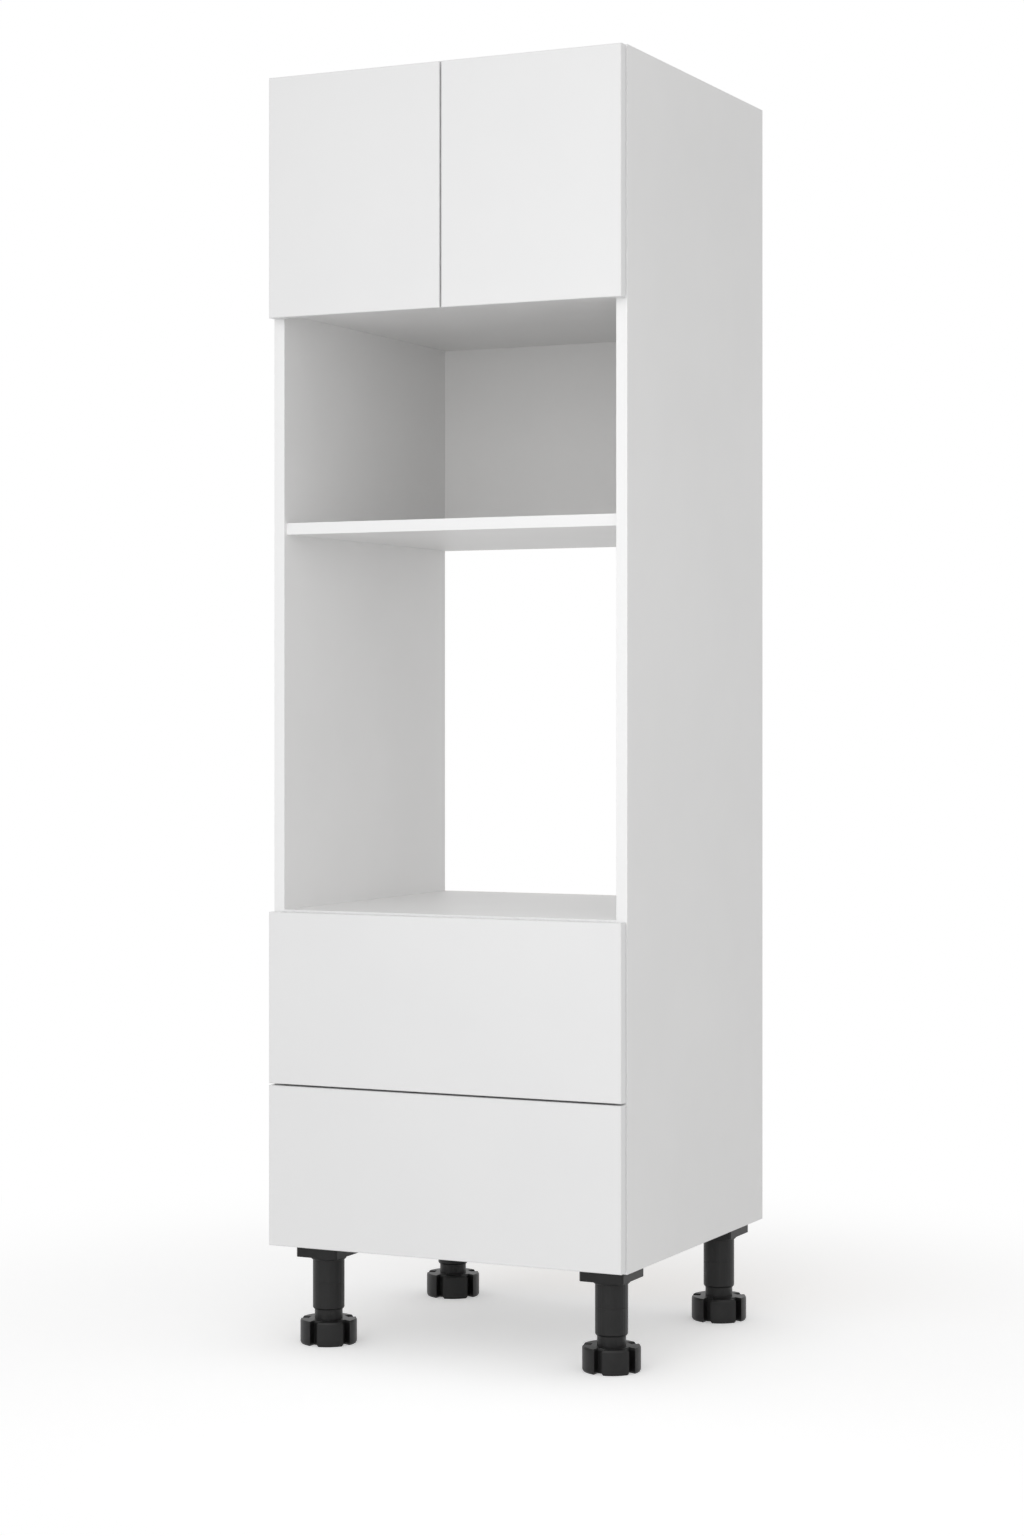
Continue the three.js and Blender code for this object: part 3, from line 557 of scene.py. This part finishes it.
HINGE_STEEL = (0.70, 0.70, 0.69, 1)
SIDES = (("left", -1), ("right", 1))
CUP_SCREW_SPACING = 48 * MM
PLATE_SCREW_SPACING = 34 * MM
PLATE_SETBACK = 37 * MM
PLATE_THICKNESS = 5 * MM
WING_THICKNESS = PLATE_THICKNESS / 2
ARM_CREST = (62 * MM, 10 * MM)
ARM_SHOULDER = (24 * MM, 15.5 * MM)
ARM_SCREW_PLACES = (0.22, 0.72)
CUP_SCREW_HEAD_RADIUS = 3.6 * MM
ARM_SCREW_HEAD_RADIUS = 3.0 * MM
SCREW_SIDES = 20
SCREW_STANDS = 1.0 * MM
SCREW_BITE = 0.5 * MM
SCREW_CROWN = 0.72
RECESS_MOST = 6 * MM
RECESS_SLENDERNESS = 5
RECESS_DEPTH_SHARE = 0.7


def cross_screw_tree():
    """A screw head with a cross recess at each point, turned to the point's own facing."""
    head_sizes = ("Head Radius", "Crown Radius", "Stands", "Bite")
    recess_sizes = ("Recess Length", "Recess Width", "Recess Depth")
    tree, start = shape_tree("cross_screws", head_sizes + recess_sizes)
    link = tree.links.new

    def sized(operation, first, second):
        node = tree.nodes.new("ShaderNodeMath")
        node.operation = operation
        for socket, value in zip(node.inputs, (first, second)):
            if isinstance(value, (int, float)):
                socket.default_value = value
            else:
                link(value, socket)
        return node.outputs[0]

    stands, bite = start.outputs["Stands"], start.outputs["Bite"]
    radius = start.outputs["Head Radius"]
    head = tree.nodes.new("GeometryNodeMeshCone")
    head.inputs["Vertices"].default_value = SCREW_SIDES
    link(radius, head.inputs["Radius Bottom"])
    link(start.outputs["Crown Radius"], head.inputs["Radius Top"])
    link(sized("ADD", stands, bite), head.inputs["Depth"])
    seated = tree.nodes.new("GeometryNodeTransform")
    drop = tree.nodes.new("ShaderNodeCombineXYZ")
    link(sized("MULTIPLY", bite, -1), drop.inputs["Z"])
    link(head.outputs["Mesh"], seated.inputs["Geometry"])
    link(drop.outputs[0], seated.inputs["Translation"])
    recess = tree.nodes.new("GeometryNodeMeshBoolean")
    recess.operation = "DIFFERENCE"
    link(seated.outputs["Geometry"], recess.inputs["Mesh 1"])
    lift = tree.nodes.new("ShaderNodeCombineXYZ")
    link(stands, lift.inputs["Z"])
    for first, second in (("X", "Y"), ("Y", "X")):
        size = tree.nodes.new("ShaderNodeCombineXYZ")
        link(start.outputs["Recess Length"], size.inputs[first])
        link(start.outputs["Recess Width"], size.inputs[second])
        link(sized("MULTIPLY", start.outputs["Recess Depth"], 2), size.inputs["Z"])
        slot = tree.nodes.new("GeometryNodeMeshCube")
        link(size.outputs[0], slot.inputs["Size"])
        raised = tree.nodes.new("GeometryNodeTransform")
        link(slot.outputs["Mesh"], raised.inputs["Geometry"])
        link(lift.outputs[0], raised.inputs["Translation"])
        link(raised.outputs["Geometry"], recess.inputs["Mesh 2"])
    facing = tree.nodes.new("GeometryNodeInputNamedAttribute")
    facing.data_type = "FLOAT_VECTOR"
    facing.inputs["Name"].default_value = "facing"
    turn = tree.nodes.new("FunctionNodeAlignRotationToVector")
    link(facing.outputs["Attribute"], turn.inputs["Vector"])
    place = tree.nodes.new("GeometryNodeInstanceOnPoints")
    link(start.outputs["Geometry"], place.inputs["Points"])
    link(recess.outputs["Mesh"], place.inputs["Instance"])
    link(turn.outputs["Rotation"], place.inputs["Rotation"])
    end_tree(tree, start, place.outputs["Instances"])
    return tree


cross_screws = cross_screw_tree()


def screws(name, places, head_radius, body, stands=SCREW_STANDS, crown=SCREW_CROWN, finish=bright_zinc):
    """Screw heads at (point, facing) pairs, as one piece on a body. Crown is the flat's share."""
    recess_length = min(head_radius, RECESS_MOST)
    host = bpy.data.meshes.new(name + "_places")
    host.from_pydata([point for point, _ in places], [], [])
    facing = host.attributes.new("facing", "FLOAT_VECTOR", "POINT")
    facing.data.foreach_set("vector", [part for _, towards in places for part in towards])
    sizes = {
        "Head Radius": head_radius,
        "Crown Radius": crown * head_radius,
        "Stands": stands,
        "Bite": SCREW_BITE,
        "Recess Length": recess_length,
        "Recess Width": recess_length / RECESS_SLENDERNESS,
        "Recess Depth": RECESS_DEPTH_SHARE * stands,
        "Finish": finish,
    }
    return grown(name, host, cross_screws, sizes, body)


def panel_inner_face(side):
    """Where a side panel's inner face is along X. Side is -1 for the left and 1 for the right."""
    if side < 0:
        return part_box("left_side_panel")[1].x
    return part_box("right_side_panel")[0].x


hinge_steel = bright_metal("hinge_nickel", HINGE_STEEL, roughness=(0.18, 0.3))
arm_slope = math.atan2(ARM_SHOULDER[1] - ARM_CREST[1], ARM_CREST[0] - ARM_SHOULDER[0])
for word, side in SIDES:
    door_screws = []
    arm_screws = []
    inner_face = panel_inner_face(side)
    wing_x = inner_face - side * WING_THICKNESS
    off_arm = (-side * math.cos(arm_slope), math.sin(arm_slope), 0)
    for level in ("upper", "lower"):
        name = f"{word}_{level}_hinge"
        dress((name + "_cup", name + "_link", name + "_arm"), hinge_steel)
        cup_low, cup_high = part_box(name + "_cup")
        cup_x = (cup_low.x + cup_high.x) / 2
        level_z = (cup_low.z + cup_high.z) / 2
        for end in (-1, 1):
            door_screws.append(((cup_x, cup_high.y, level_z + end * CUP_SCREW_SPACING / 2), (0, 1, 0)))
            wing_place = (wing_x, carcass_front + PLATE_SETBACK, level_z + end * PLATE_SCREW_SPACING / 2)
            arm_screws.append((wing_place, (-side, 0, 0)))
        for share in ARM_SCREW_PLACES:
            setback = ARM_SHOULDER[0] + share * (ARM_CREST[0] - ARM_SHOULDER[0])
            rise = ARM_SHOULDER[1] + share * (ARM_CREST[1] - ARM_SHOULDER[1])
            point = (inner_face - side * (PLATE_THICKNESS + rise), carcass_front + setback, level_z)
            arm_screws.append((point, off_arm))
    screws(f"{word}_hinge_cup_screws", door_screws, CUP_SCREW_HEAD_RADIUS, f"{word}_door")
    screws(f"{word}_hinge_arm_screws", arm_screws, ARM_SCREW_HEAD_RADIUS, "carcass")


# ---------------------------------------------------------------------------
# The cams that draw the top and bottom panels against the sides: die-cast discs let into
# the outer face of each board, where the finished kitchen hides them.

CAST_ZINC = (0.40, 0.40, 0.41, 1)
CAM_RADIUS = 7.5 * MM
CAM_STANDS = 0.15 * MM
CAM_CROWN = 0.96
CAM_FROM_END = 34 * MM
TOP_CAM_SETBACKS = (70 * MM, 490 * MM)
BOTTOM_CAM_SETBACKS = (145 * MM, 420 * MM)

cast_zinc = bright_metal("cast_zinc", CAST_ZINC, roughness=(0.36, 0.5))
cams = []
for board, upwards, setbacks in (
    ("top_panel", 1, TOP_CAM_SETBACKS),
    ("bottom_panel", -1, BOTTOM_CAM_SETBACKS),
):
    low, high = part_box(board)
    outer_face = high.z if upwards > 0 else low.z
    for x in (low.x + CAM_FROM_END, high.x - CAM_FROM_END):
        for setback in setbacks:
            cams.append(((x, low.y + setback, outer_face), (0, 0, upwards)))
screws("panel_cams", cams, CAM_RADIUS, "carcass", stands=CAM_STANDS, crown=CAM_CROWN, finish=cast_zinc)


# ---------------------------------------------------------------------------
# The push latches under the top panel: a moulded housing with two screwed ears, and a
# sprung plunger that has a soft round tip so that it doesn't mark the door.

LATCH_SCREW_FROM_MIDDLE = 11 * MM
LATCH_EAR_THICKNESS = 3 * MM
LATCH_SCREW_HEAD_RADIUS = 2.8 * MM
MOULDED_EDGE = 0.8 * MM
GREY_DARK = (0.50, 0.51, 0.52, 1)
GREY_LIGHT = (0.55, 0.56, 0.57, 1)
TIP_GREY = (0.30, 0.31, 0.32, 1)
ROUND_STEPS = 32
TIP_STEPS = 6
TIP_ROUND = 2.2 * MM
TIP_FLAT_DEGREES = 15
TIP_LENGTH = 6 * MM
TAIL_LENGTH = 8 * MM
PLUNGER_WAIST = 0.3 * MM
WAIST_SLOPE = 0.4 * MM


def moulded_plastic(name, dark, light, roughness, gloss=0.4):
    """Moulded plastic: a fine spark texture and slightly uneven gloss."""
    material, tree, shader = new_material(name)
    place = own_place(tree)
    spark = noise(tree, place, scale=1400, detail=2)
    flow = noise(tree, place, scale=35, detail=3)
    tree.links.new(ramp(tree, flow, dark, light, 0.3, 0.7), shader.inputs["Base Color"])
    tree.links.new(spread_value(tree, flow, *roughness), shader.inputs["Roughness"])
    moulded = eased_edges(tree, MOULDED_EDGE)
    sparked = bump(tree, spark, strength=0.25, distance=0.1 * MM, under=moulded)
    tree.links.new(sparked, shader.inputs["Normal"])
    shader.inputs["Specular IOR Level"].default_value = gloss
    return material


grey_plastic = moulded_plastic("grey_plastic", GREY_DARK, GREY_LIGHT, (0.4, 0.5))
soft_tip = moulded_plastic("plunger_plastic", TIP_GREY, GREY_DARK, (0.55, 0.65))
latch_screws = []
for word, _ in SIDES:
    housing = f"{word}_push_latch_housing"
    dress((housing,), grey_plastic)
    low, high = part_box(housing)
    middle = (low + high) / 2
    for end in (-1, 1):
        place = (middle.x + end * LATCH_SCREW_FROM_MIDDLE, middle.y, high.z - LATCH_EAR_THICKNESS)
        latch_screws.append((place, (0, 0, -1)))
screws("push_latch_screws", latch_screws, LATCH_SCREW_HEAD_RADIUS, "carcass")


def turned(name, profile, centre, material):
    """A round piece about a line along Y. The profile is (y, radius) pairs from front to rear."""
    bm = bmesh.new()
    rings = []
    for y, radius in profile:
        ring = []
        for step in range(ROUND_STEPS):
            angle = 2 * math.pi * step / ROUND_STEPS
            x = centre.x + radius * math.cos(angle)
            z = centre.z + radius * math.sin(angle)
            ring.append(bm.verts.new((x, y, z)))
        rings.append(ring)
    for front_ring, rear_ring in zip(rings, rings[1:]):
        for step in range(ROUND_STEPS):
            after = (step + 1) % ROUND_STEPS
            bm.faces.new((front_ring[step], front_ring[after], rear_ring[after], rear_ring[step]))
    bm.faces.new(list(reversed(rings[0])))
    bm.faces.new(rings[-1])
    bmesh.ops.recalc_face_normals(bm, faces=bm.faces)
    for face in bm.faces:
        face.smooth = len(face.verts) == 4
    return mesh_object(name, bm, material)


for word, _ in SIDES:
    plunger = f"{word}_push_latch_plunger"
    low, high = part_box(plunger)
    centre = (low + high) / 2
    radius = (high.x - low.x) / 2
    waist = radius - PLUNGER_WAIST
    profile = []
    for step in range(TIP_STEPS + 1):
        angle = math.radians(TIP_FLAT_DEGREES + (90 - TIP_FLAT_DEGREES) * step / TIP_STEPS)
        ring = radius - TIP_ROUND + TIP_ROUND * math.sin(angle)
        profile.append((low.y + TIP_ROUND * (1 - math.cos(angle)), ring))
    # The tip's middle is flat, where it meets the door.
    profile[0] = (low.y, profile[0][1])
    profile.append((low.y + TIP_LENGTH, radius))
    profile.append((low.y + TIP_LENGTH + WAIST_SLOPE, waist))
    profile.append((high.y - TAIL_LENGTH, waist))
    profile.append((high.y - TAIL_LENGTH + WAIST_SLOPE, radius))
    profile.append((high.y, radius))
    piece = turned(f"{word}_latch_rod", profile, centre, soft_tip)
    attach(piece, f"{word}_latch_plunger")
    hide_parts(plunger)


# ---------------------------------------------------------------------------
# The drawer boxes: folded steel sides with white powder coat, and a white board for the
# base and the back. Screws go up through the sides' flanges and in through their walls,
# and a steel angle against each side holds the drawer's front.

DRAWERS = ("upper_drawer", "lower_drawer")
POWDER_WHITE = (0.76, 0.76, 0.765, 1)
POWDER_GREY = (0.72, 0.72, 0.725, 1)
FLANGE_SCREW_PLACES = (0.08, 0.36, 0.64, 0.92)
FLANGE_SCREW_INSET = 7 * MM
DRAWER_SIDE_OFFSET = 12.25 * MM
BACK_SCREW_LEVELS = (50 * MM, 120 * MM)
DRAWER_SCREW_HEAD_RADIUS = 3.2 * MM
BRACKET_SHEET = 1.5 * MM
BRACKET_ON_FRONT = 15 * MM
BRACKET_ON_SIDE = 24 * MM
BRACKET_LEVELS = (45 * MM, 125 * MM)
BRACKET_SCREW_INSET = 16 * MM
BRACKET_FOLD = 0.5 * MM


def upright_prisms(name, outlines, bottom, top, material):
    """Closed upright prisms on flat outlines of (x, y) points, as one mesh."""
    bm = bmesh.new()
    for outline in outlines:
        lower = [bm.verts.new((x, y, bottom)) for x, y in outline]
        upper = [bm.verts.new((x, y, top)) for x, y in outline]
        bm.faces.new(lower)
        bm.faces.new(upper)
        for step in range(len(outline)):
            after = (step + 1) % len(outline)
            bm.faces.new((lower[step], lower[after], upper[after], upper[step]))
    bmesh.ops.recalc_face_normals(bm, faces=bm.faces)
    return mesh_object(name, bm, material)


def powder_coat():
    """Powder coat on steel: a fine orange peel and a nearly even satin gloss."""
    material, tree, shader = new_material("drawer_powder_coat")
    place = own_place(tree)
    peel = noise(tree, place, scale=500, detail=1)
    cloudy = noise(tree, place, scale=20, detail=3)
    tree.links.new(ramp(tree, cloudy, POWDER_GREY, POWDER_WHITE, 0.3, 0.7), shader.inputs["Base Color"])
    tree.links.new(spread_value(tree, peel, 0.3, 0.42), shader.inputs["Roughness"])
    folded = eased_edges(tree, PRESSED_EDGE)
    peeled = bump(tree, peel, strength=0.2, distance=0.2 * MM, under=folded)
    tree.links.new(peeled, shader.inputs["Normal"])
    return material


powder_white = powder_coat()
for drawer in DRAWERS:
    dress((f"{drawer}_left_side", f"{drawer}_right_side"), powder_white)
    base_low, base_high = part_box(f"{drawer}_base")
    dress((f"{drawer}_base",), banded_board(f"{drawer}_base_board", base_low.y))
    back_low, back_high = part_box(f"{drawer}_back")
    dress((f"{drawer}_back",), banded_board(f"{drawer}_back_board", back_low.y))
    places = []
    for word, side in SIDES:
        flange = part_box(f"{drawer}_{word}_side")[0].z
        edge = base_high.x if side > 0 else base_low.x
        for share in FLANGE_SCREW_PLACES:
            y = base_low.y + share * (base_high.y - base_low.y)
            places.append(((edge - side * FLANGE_SCREW_INSET, y, flange), (0, 0, -1)))
        wall = panel_inner_face(side) - side * DRAWER_SIDE_OFFSET
        for level in BACK_SCREW_LEVELS:
            point = (wall, (back_low.y + back_high.y) / 2, flange + level)
            places.append((point, (side, 0, 0)))
    brackets = []
    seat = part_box(f"{drawer}_front")[1].y
    for edge, side in ((base_low.x, -1), (base_high.x, 1)):
        inner = edge - side * BRACKET_SHEET
        brackets.append([
            (edge, seat),
            (edge - side * BRACKET_ON_FRONT, seat),
            (edge - side * BRACKET_ON_FRONT, seat + BRACKET_SHEET),
            (inner, seat + BRACKET_SHEET),
            (inner, seat + BRACKET_ON_SIDE),
            (edge, seat + BRACKET_ON_SIDE),
        ])
        for level in (BRACKET_LEVELS[0] + BRACKET_SCREW_INSET, BRACKET_LEVELS[1] - BRACKET_SCREW_INSET):
            z = base_low.z + level
            on_front = (edge - side * (BRACKET_ON_FRONT + BRACKET_SHEET) / 2, seat + BRACKET_SHEET, z)
            on_side = (inner, seat + (BRACKET_ON_SIDE + BRACKET_SHEET) / 2, z)
            places += [(on_front, (0, 1, 0)), (on_side, (-side, 0, 0))]
    bottom, top = (base_low.z + level for level in BRACKET_LEVELS)
    piece = upright_prisms(f"{drawer}_front_brackets", brackets, bottom, top, bright_zinc)
    fold = piece.modifiers.new("fold", "BEVEL")
    fold.width = BRACKET_FOLD
    fold.segments = 2
    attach(piece, drawer)
    screws(f"{drawer}_screws", places, DRAWER_SCREW_HEAD_RADIUS, drawer)


# ---------------------------------------------------------------------------
# The runners: rolled zinc-plated rails that telescope, a fixed rail on each side panel and
# a middle rail that follows at half the drawer's travel.

RUNNER_ZINC = (0.58, 0.59, 0.60, 1)
RAIL_SHEET = 1.25 * MM
RAIL_SCREW_PLACES = (0.07, 0.42, 0.80)
RAIL_SCREW_HEAD_RADIUS = 3.5 * MM
RAIL_SCREW_STANDS = 0.25 * MM

runner_zinc = bright_metal("runner_zinc", RUNNER_ZINC, roughness=(0.26, 0.4), grain=90)
rail_screws = []
for drawer in DRAWERS:
    for word, side in SIDES:
        rail = f"{drawer}_{word}_cabinet_rail"
        dress((rail, f"{drawer}_{word}_middle_rail"), runner_zinc)
        low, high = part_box(rail)
        web = (high.x if side > 0 else low.x) - side * RAIL_SHEET
        for share in RAIL_SCREW_PLACES:
            point = (web, low.y + share * (high.y - low.y), (low.z + high.z) / 2)
            rail_screws.append((point, (-side, 0, 0)))
screws("runner_screws", rail_screws, RAIL_SCREW_HEAD_RADIUS, "carcass", stands=RAIL_SCREW_STANDS)


# ---------------------------------------------------------------------------
# The levelling legs: moulded black plastic, with a plate screwed under the bottom panel,
# a tube, and a foot that screws in and out on a stem and is turned by its slotted rim.

LEG_DARK = (0.006, 0.006, 0.006, 1)
LEG_LIGHT = (0.010, 0.010, 0.010, 1)
LEG_SCREW_FROM_EDGE = 9 * MM
LEG_SCREW_SEAT = 8 * MM
LEG_SCREW_HEAD_RADIUS = 4.0 * MM
LEG_SCREW_STANDS = 2.2 * MM

black_plastic = moulded_plastic("black_plastic", LEG_DARK, LEG_LIGHT, (0.34, 0.48), gloss=0.32)
leg_screws = []
for corner in ("front_left", "front_right", "back_left", "back_right"):
    plate = f"{corner}_leg_plate"
    dress((plate, f"{corner}_leg_tube", f"{corner}_levelling_foot"), black_plastic)
    low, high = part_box(plate)
    for x in (low.x + LEG_SCREW_FROM_EDGE, high.x - LEG_SCREW_FROM_EDGE):
        for y in (low.y + LEG_SCREW_FROM_EDGE, high.y - LEG_SCREW_FROM_EDGE):
            leg_screws.append(((x, y, low.z + LEG_SCREW_SEAT), (0, 0, -1)))
screws("leg_plate_screws", leg_screws, LEG_SCREW_HEAD_RADIUS, "carcass", stands=LEG_SCREW_STANDS)
